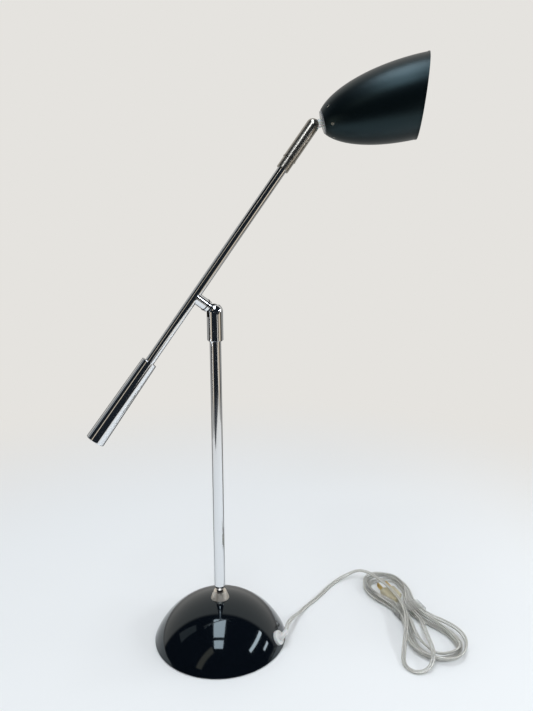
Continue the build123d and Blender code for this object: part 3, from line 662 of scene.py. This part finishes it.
# steel, chrome plated and worn: duller and darker than the rest, with blotches of 0.2 mm
worn_chrome, tree, shader = new_finish(
    "worn_chrome_plate", Base_Color=linear("#B9B6AE"), Metallic=1.0, Roughness=0.2
)
blotch = add_node(
    tree,
    "ShaderNodeTexNoise",
    Scale=times_across("head_sleeve", 0.22),
    Detail=2.0,
    Roughness=0.5,
)
dull = add_node(
    tree,
    "ShaderNodeMapRange",
    Value=blotch.outputs["Fac"],
    From_Min=0.4,
    From_Max=0.65,
    To_Min=0.2,
    To_Max=0.32,
)
stain = add_node(
    tree,
    "ShaderNodeMix",
    {"data_type": "RGBA"},
    Factor=blotch.outputs["Fac"],
    i6=linear("#C4C0B8"),
    i7=linear("#8F8B82"),
)
bump = add_node(
    tree, "ShaderNodeBump", Height=blotch.outputs["Fac"], Strength=0.04, Distance=0.0002
)
tree.links.new(dull.outputs["Result"], shader.inputs["Roughness"])
tree.links.new(stain.outputs[2], shader.inputs["Base Color"])
tree.links.new(bump.outputs["Normal"], shader.inputs["Normal"])
for name in ("head_ferrule", "head_ring", "head_sleeve", "head_pin"):
    finish_node(name, worn_chrome)
finish_node("head_stud", zinc_plate)

# ------------------------------------------------------------------ shade
# Bullet spun from thin aluminium, satin black outside and white inside, with a flat back,
# vent holes round it and a mouth cut at a slant.

# the head's hinge and the shade's axis, from the elbow's pivot outwards
pivot = Vector((0, 0, 0.4154))
neck_length = 0.0297
arm_reach = 0.2333
arm_rise = math.radians(52.0)
hinge_roll = math.radians(-35.0)
shade_tilt = math.radians(41.9)
arm_dir = Vector((math.cos(arm_rise), 0, math.sin(arm_rise)))
neck_dir = Vector((-math.sin(arm_rise), 0, math.cos(arm_rise)))
head_hinge = pivot + neck_dir * neck_length + arm_dir * arm_reach
hinge_dir = Matrix.Rotation(hinge_roll, 3, arm_dir) @ Vector((0, 1, 0))
shade_dir = Matrix.Rotation(shade_tilt, 3, hinge_dir) @ arm_dir

# the wall is an ellipse: where it is widest, from the hinge, its half length and its
# radius there; the skin's middle lies a little inside, and its back beyond the hinge
widest_place, half_length, widest_radius = 0.1212, 0.1150, 0.0439
skin_half, back_place = 0.0007, 0.0126

# stoved paint, sprayed: satin black with a cold sheen, a fine grain of 0.07 mm and a tone
# that wanders over 2 mm; white where a point lies nearer the axis than the skin's middle
satin_black, tree, shader = new_finish(
    "sprayed_satin_black",
    Base_Color=linear("#070B0E"),
    Roughness=0.34,
    IOR=1.5,
    Specular_IOR_Level=0.56,
    Specular_Tint=linear("#A9D2DC"),
)
surface = add_node(tree, "ShaderNodeTexCoord")
offset = add_node(
    tree,
    "ShaderNodeVectorMath",
    {"operation": "SUBTRACT"},
    i0=surface.outputs["Object"],
    i1=tuple(head_hinge),
)
reach = add_node(
    tree,
    "ShaderNodeVectorMath",
    {"operation": "DOT_PRODUCT"},
    i0=offset.outputs[0],
    i1=tuple(shade_dir),
)
sideways = add_node(
    tree,
    "ShaderNodeVectorMath",
    {"operation": "CROSS_PRODUCT"},
    i0=offset.outputs[0],
    i1=tuple(shade_dir),
)
radius = add_node(tree, "ShaderNodeVectorMath", {"operation": "LENGTH"}, i0=sideways.outputs[0])
share = add_node(
    tree,
    "ShaderNodeMapRange",
    {"clamp": False},
    Value=reach.outputs["Value"],
    From_Min=widest_place,
    From_Max=widest_place + half_length,
)
square = add_node(
    tree, "ShaderNodeMath", {"operation": "MULTIPLY"}, i0=share.outputs[0], i1=share.outputs[0]
)
rest = add_node(tree, "ShaderNodeMath", {"operation": "SUBTRACT"}, i0=1.0, i1=square.outputs[0])
root = add_node(tree, "ShaderNodeMath", {"operation": "SQRT"}, i0=rest.outputs[0])
skin_middle = add_node(
    tree,
    "ShaderNodeMath",
    {"operation": "MULTIPLY_ADD"},
    i0=root.outputs[0],
    i1=widest_radius,
    i2=-skin_half,
)
inner = add_node(
    tree,
    "ShaderNodeMath",
    {"operation": "LESS_THAN"},
    i0=radius.outputs["Value"],
    i1=skin_middle.outputs[0],
)
beyond_back = add_node(
    tree,
    "ShaderNodeMath",
    {"operation": "GREATER_THAN"},
    i0=reach.outputs["Value"],
    i1=back_place,
)
inside = add_node(
    tree,
    "ShaderNodeMath",
    {"operation": "MULTIPLY"},
    i0=inner.outputs[0],
    i1=beyond_back.outputs[0],
)
wear = add_node(tree, "ShaderNodeTexNoise", Scale=times_across("shade_shell", 2.18), Detail=5.0)
black_tone = add_node(
    tree,
    "ShaderNodeMix",
    {"data_type": "RGBA"},
    Factor=wear.outputs["Fac"],
    i6=linear("#010305"),
    i7=linear("#03080B"),
)
tone = add_node(
    tree,
    "ShaderNodeMix",
    {"data_type": "RGBA"},
    Factor=inside.outputs[0],
    i6=black_tone.outputs[2],
    i7=linear("#E9E8E2"),
)
tree.links.new(tone.outputs[2], shader.inputs["Base Color"])
spray = add_node(
    tree, "ShaderNodeTexNoise", Scale=times_across("shade_shell", 0.0727), Detail=2.0
)
bump = add_node(
    tree, "ShaderNodeBump", Height=spray.outputs["Fac"], Strength=0.12, Distance=0.0002
)
tree.links.new(bump.outputs["Normal"], shader.inputs["Normal"])
finish_node("shade_shell", satin_black)

# ------------------------------------------------------------------ neck and disc
# Neck that swings in the head sleeve's slot, moulded in the bushing's plastic, and the
# smoky disc between it and the shade's back. A nut on the neck's stud holds all three.

# polystyrene, moulded: a grey that lets a little light through, smooth and half glossy
smoky_plastic, tree, shader = new_finish(
    "smoky_clear_polystyrene",
    Base_Color=linear("#8B8E90"),
    Roughness=0.2,
    Transmission_Weight=0.35,
)
flow = add_node(tree, "ShaderNodeTexNoise", Scale=times_across("shade_disc", 0.0925), Detail=2.0)
bump = add_node(
    tree, "ShaderNodeBump", Height=flow.outputs["Fac"], Strength=0.1, Distance=0.0003
)
tree.links.new(bump.outputs["Normal"], shader.inputs["Normal"])
finish_node("shade_disc", smoky_plastic)
finish_node("shade_neck", pale_plastic)
finish_node("holder_nut", zinc_plate)

# ------------------------------------------------------------------ lamp holder
# Cup pressed from white thermoset, inside the shade, on the end of the neck's stud and
# in front of its nut. It takes the bulb's cap.

# thermoset, pressed: an even, warm white with a hard half gloss
thermoset, tree, shader = new_finish(
    "pressed_white_thermoset", Base_Color=linear("#E4E1D8"), Roughness=0.35
)
flow = add_node(tree, "ShaderNodeTexNoise", Scale=times_across("lamp_holder", 0.195), Detail=2.0)
bump = add_node(
    tree, "ShaderNodeBump", Height=flow.outputs["Fac"], Strength=0.1, Distance=0.0003
)
tree.links.new(bump.outputs["Normal"], shader.inputs["Normal"])
finish_node("lamp_holder", thermoset)

# ------------------------------------------------------------------ bulb
# Blown glass envelope, etched and cemented in its rolled cap, which stands in the lamp
# holder.

# brass, nickel plated: a warm grey metal, rubbed by its socket
plated_cap, tree, shader = new_finish(
    "nickel_plated_cap", Base_Color=linear("#BDB8AA"), Metallic=1.0, Roughness=0.3
)
rubbing = add_node(tree, "ShaderNodeTexNoise", Scale=times_across("bulb_cap", 0.049), Detail=3.0)
dull = add_node(
    tree, "ShaderNodeMapRange", Value=rubbing.outputs["Fac"], To_Min=0.2, To_Max=0.45
)
tree.links.new(dull.outputs["Result"], shader.inputs["Roughness"])
finish_node("bulb_cap", plated_cap)

# glass, blown and etched: milky white, because its etching scatters the light; the pits
# are drawn at 0.07 mm, coarser than real ones, so that they show
frosted, tree, shader = new_finish(
    "etched_glass",
    Base_Color=linear("#F6F5F0"),
    Roughness=0.45,
    Transmission_Weight=0.55,
    IOR=1.5,
)
etching = add_node(
    tree, "ShaderNodeTexNoise", Scale=times_across("bulb_glass", 0.068), Detail=2.0
)
bump = add_node(
    tree, "ShaderNodeBump", Height=etching.outputs["Fac"], Strength=0.2, Distance=0.0002
)
tree.links.new(bump.outputs["Normal"], shader.inputs["Normal"])
finish_node("bulb_glass", frosted)

# ------------------------------------------------------------------ table
# Plain pale table top that the lamp stands on. It fades into the pale surround, so that
# no edge shows behind the lamp.

table_half = 6.0
fade_from, fade_to = 0.35, 1.0
surround_tone = "#E5E3DF"

table_mesh = bpy.data.meshes.new("table_top")
build = bmesh.new()
corners = ((-1, -1), (1, -1), (1, 1), (-1, 1))
build.faces.new([build.verts.new((x * table_half, y * table_half, 0.0)) for x, y in corners])
build.to_mesh(table_mesh)
build.free()

# laminate, matt: an even, cool white that takes a soft shadow
pale_laminate, tree, shader = new_finish(
    "pale_matt_laminate", Base_Color=linear("#F1F3F2"), Roughness=0.55
)
surface = add_node(tree, "ShaderNodeTexCoord")
away = add_node(tree, "ShaderNodeVectorMath", {"operation": "LENGTH"}, i0=surface.outputs["Object"])
fade = add_node(
    tree,
    "ShaderNodeMapRange",
    {"interpolation_type": "SMOOTHSTEP"},
    Value=away.outputs["Value"],
    From_Min=fade_from,
    From_Max=fade_to,
)
glow = add_node(tree, "ShaderNodeEmission", Color=linear(surround_tone), Strength=1.0)
blend = add_node(
    tree,
    "ShaderNodeMixShader",
    Fac=fade.outputs["Result"],
    i1=shader.outputs["BSDF"],
    i2=glow.outputs["Emission"],
)
tree.links.new(blend.outputs["Shader"], tree.nodes["Material Output"].inputs["Surface"])
table_top = link("table_top", table_mesh, pale_laminate)

# ------------------------------------------------------------------ mirrored room
# The room's floor beyond the table, which only mirrors show: dark on the camera's side,
# pale by the wall, and with one bright strip to the right.

view_way = Vector((0.4122, 0.9111, 0.0))
view_side = Vector((0.9111, -0.4122, 0.0))

# outlines by distance ahead, towards the wall, and aside, to the right: four pieces round
# the table's edge, and the strip over them
room_pieces = (
    (
        (-0.40, -0.69),
        (-0.56, -0.30),
        (-0.76, -0.05),
        (-0.80, 0.28),
        (-0.64, 0.80),
        (-0.64, 5.0),
        (-6.0, 5.0),
        (-6.0, -5.0),
        (-0.40, -5.0),
    ),
    ((0.155, -0.69), (-0.40, -0.69), (-0.40, -5.0), (0.155, -5.0)),
    ((-0.64, 0.80), (0.155, 0.80), (0.155, 5.0), (-0.64, 5.0)),
    ((0.155, -5.0), (6.0, -5.0), (6.0, 5.0), (0.155, 5.0)),
)
strip_piece = ((-4.00, 1.75), (-0.55, 0.78), (-0.55, 0.92), (-4.00, 2.25))
room_lift, strip_lift = 0.0015, 0.003

room_mesh = bpy.data.meshes.new("room_floor")
build = bmesh.new()
for index, outline in enumerate((*room_pieces, strip_piece)):
    is_strip = index == len(room_pieces)
    lift = Vector((0, 0, strip_lift if is_strip else room_lift))
    corners = [view_way * ahead + view_side * aside + lift for ahead, aside in outline]
    face = build.faces.new([build.verts.new(corner) for corner in corners])
    face.material_index = 1 if is_strip else 0
bmesh.ops.triangulate(build, faces=build.faces)
build.to_mesh(room_mesh)
build.free()

# dim room: near the table one soft change from dark to pale, by the angle from the way
# out that is darkest
dim_room, tree, shader = new_finish("dim_room", Base_Color=linear("#000000"), Roughness=1.0)
surface = add_node(tree, "ShaderNodeTexCoord")
outward = add_node(
    tree, "ShaderNodeVectorMath", {"operation": "NORMALIZE"}, i0=surface.outputs["Object"]
)
darkest_way = (-0.616, -0.788, 0.0)
facing = add_node(
    tree,
    "ShaderNodeVectorMath",
    {"operation": "DOT_PRODUCT"},
    i0=outward.outputs[0],
    i1=darkest_way,
)
paler = add_node(
    tree, "ShaderNodeMapRange", Value=facing.outputs["Value"], From_Min=1.0, From_Max=0.62
)
near_tone = add_node(
    tree,
    "ShaderNodeMix",
    {"data_type": "RGBA"},
    Factor=paler.outputs[0],
    i6=linear("#30353C"),
    i7=linear("#A8A7A5"),
)
# further off, as the elbow's sleeve shows it: dark on the camera's side, then on either
# side a cream wall, a dark stretch and the pale wall behind the lamp
camera_way = (-0.342, -0.940, 0.0)
from_camera = add_node(
    tree,
    "ShaderNodeVectorMath",
    {"operation": "DOT_PRODUCT"},
    i0=outward.outputs[0],
    i1=camera_way,
)
turned = add_node(
    tree, "ShaderNodeMapRange", Value=from_camera.outputs["Value"], From_Min=1.0, From_Max=-1.0
)
far_tone = add_node(tree, "ShaderNodeValToRGB", Fac=turned.outputs[0])
stops = far_tone.color_ramp.elements
stops[0].color = linear("#1B2026")
stops[1].color = linear("#B9B8B5")
for position, colour in (
    (0.17, "#1D2126"),
    (0.21, "#DCCFBC"),
    (0.37, "#D2C6B4"),
    (0.43, "#3B3833"),
    (0.62, "#37363A"),
    (0.68, "#B9B8B5"),
):
    stops.new(position).color = linear(colour)
distance = add_node(
    tree, "ShaderNodeVectorMath", {"operation": "LENGTH"}, i0=surface.outputs["Object"]
)
far_off = add_node(
    tree, "ShaderNodeMapRange", Value=distance.outputs["Value"], From_Min=0.85, From_Max=1.05
)
room_tone = add_node(
    tree,
    "ShaderNodeMix",
    {"data_type": "RGBA"},
    Factor=far_off.outputs[0],
    i6=near_tone.outputs[2],
    i7=far_tone.outputs["Color"],
)
room_glow = add_node(tree, "ShaderNodeEmission", Color=room_tone.outputs[2], Strength=1.0)
tree.links.new(room_glow.outputs[0], tree.nodes["Material Output"].inputs["Surface"])

# light strip: an even cream glow
light_strip, tree, shader = new_finish("light_strip", Base_Color=linear("#000000"), Roughness=1.0)
strip_glow = add_node(tree, "ShaderNodeEmission", Color=linear("#F4F0E8"), Strength=1.0)
tree.links.new(strip_glow.outputs[0], tree.nodes["Material Output"].inputs["Surface"])

room_floor = link("room_floor", room_mesh, dim_room, light_strip)
room_floor.visible_camera = False
room_floor.visible_diffuse = False
room_floor.visible_transmission = False
room_floor.visible_shadow = False

# ------------------------------------------------------------------ surround
# Soft even light from all round. The camera and clear pieces see a plain pale wall, and
# mirrors see that wall behind the lamp and a dim room on the camera's side.

world = bpy.data.worlds.new("surround")
world.use_nodes = True
scene.world = world
tree = world.node_tree
even_light = tree.nodes["Background"]
even_light.inputs["Color"].default_value = linear("#E6E6E8")
even_light.inputs["Strength"].default_value = 0.66
pale_wall = add_node(
    tree, "ShaderNodeBackground", Color=linear(surround_tone), Strength=1.0
)
ray = add_node(tree, "ShaderNodeLightPath")
sky = add_node(tree, "ShaderNodeTexCoord")
ahead = add_node(
    tree,
    "ShaderNodeVectorMath",
    {"operation": "DOT_PRODUCT"},
    i0=sky.outputs["Generated"],
    i1=tuple(view_way),
)
wall_share = add_node(
    tree,
    "ShaderNodeMapRange",
    {"interpolation_type": "SMOOTHSTEP"},
    Value=ahead.outputs["Value"],
    From_Min=0.24,
    From_Max=0.34,
)
room_or_wall = add_node(
    tree,
    "ShaderNodeMix",
    {"data_type": "RGBA"},
    Factor=wall_share.outputs[0],
    i6=linear("#1A1F25"),
    i7=linear("#D2D0CC"),
)

# one tall cream curtain in the dim room, which the arm and its counterweight draw as a
# line: a band of directions about this way's Y, cut off to the right and below
curtain_y, curtain_half, curtain_edge = -0.505, 0.045, 0.085
curtain_right, curtain_foot = -0.42, 0.3
way = add_node(tree, "ShaderNodeSeparateXYZ", Vector=sky.outputs["Generated"])
beside = add_node(
    tree, "ShaderNodeMath", {"operation": "SUBTRACT"}, i0=way.outputs["Y"], i1=curtain_y
)
off_middle = add_node(tree, "ShaderNodeMath", {"operation": "ABSOLUTE"}, i0=beside.outputs[0])
band = add_node(
    tree,
    "ShaderNodeMapRange",
    Value=off_middle.outputs[0],
    From_Min=curtain_edge,
    From_Max=curtain_half,
)
leftward = add_node(
    tree, "ShaderNodeMath", {"operation": "LESS_THAN"}, i0=way.outputs["X"], i1=curtain_right
)
upward = add_node(
    tree, "ShaderNodeMath", {"operation": "GREATER_THAN"}, i0=way.outputs["Z"], i1=curtain_foot
)
quarter = add_node(
    tree, "ShaderNodeMath", {"operation": "MULTIPLY"}, i0=leftward.outputs[0], i1=upward.outputs[0]
)
curtain = add_node(
    tree, "ShaderNodeMath", {"operation": "MULTIPLY"}, i0=band.outputs[0], i1=quarter.outputs[0]
)
mirror_tone = add_node(
    tree,
    "ShaderNodeMix",
    {"data_type": "RGBA"},
    Factor=curtain.outputs[0],
    i6=room_or_wall.outputs[2],
    i7=linear("#D3C8B6"),
)
mirrored = add_node(tree, "ShaderNodeBackground", Color=mirror_tone.outputs[2], Strength=1.0)
lit_or_mirrored = add_node(
    tree,
    "ShaderNodeMixShader",
    Fac=ray.outputs["Is Glossy Ray"],
    i1=even_light.outputs[0],
    i2=mirrored.outputs[0],
)
sees_wall = add_node(
    tree,
    "ShaderNodeMath",
    {"operation": "MAXIMUM"},
    i0=ray.outputs["Is Camera Ray"],
    i1=ray.outputs["Is Transmission Ray"],
)
whole = add_node(
    tree,
    "ShaderNodeMixShader",
    Fac=sees_wall.outputs[0],
    i1=lit_or_mirrored.outputs[0],
    i2=pale_wall.outputs[0],
)
tree.links.new(whole.outputs[0], tree.nodes["World Output"].inputs["Surface"])

# ------------------------------------------------------------------ lights
# Two soft panels overhead, two windows low on the right and a dim doorway on the left.
# The dome mirrors each of them.


def panel_light(name, place, target, width, height, brightness, colour):
    """Soft rectangular light that faces a target, as bright as a mirror shows it."""
    data = bpy.data.lights.new(name, "AREA")
    data.shape = "RECTANGLE"
    data.size = width
    data.size_y = height
    data.energy = brightness * math.pi * width * height
    data.color = linear(colour)[:3]
    made = bpy.data.objects.new(name, data)
    facing = (Vector(target) - Vector(place)).normalized()
    across = facing.cross(Vector((0, 0, 1))) if abs(facing.z) < 0.99 else view_side
    across = across.normalized()
    upright = across.cross(facing)
    turn = Matrix((across, upright, -facing)).transposed().to_4x4()
    made.matrix_world = Matrix.Translation(place) @ turn
    scene.collection.objects.link(made)


# the panels lie one behind the other; their ends are given as slopes from the lamp
# towards the camera, and their width and shift in the ceiling's height
ceiling = 3.4
panel_width, panel_shift = 0.3, 0.06
for name, start, end in (("far_panel", -0.06, 0.47), ("near_panel", 0.565, 0.87)):
    over_lamp = Vector((0, panel_shift * ceiling, ceiling))
    middle = over_lamp - view_way * ceiling * (start + end) / 2
    panel_light(
        name,
        place=middle,
        target=middle - Vector((0, 0, 1)),
        width=panel_width * ceiling,
        height=(end - start) * ceiling,
        brightness=7.0,
        colour="#EFF6FF",
    )
dome_middle = (0, 0, 0.05)
panel_light(
    "high_window",
    place=(1.09, -0.71, 0.80),
    target=dome_middle,
    width=1.0,
    height=0.13,
    brightness=9.0,
    colour="#F3F8FF",
)
panel_light(
    "low_window",
    place=(1.33, -0.59, 0.41),
    target=dome_middle,
    width=0.36,
    height=0.09,
    brightness=8.0,
    colour="#F3F8FF",
)
panel_light(
    "left_doorway",
    place=(-1.36, 0.62, 1.45),
    target=(0, 0, 1.45),
    width=0.42,
    height=1.3,
    brightness=0.35,
    colour="#E8F0F4",
)
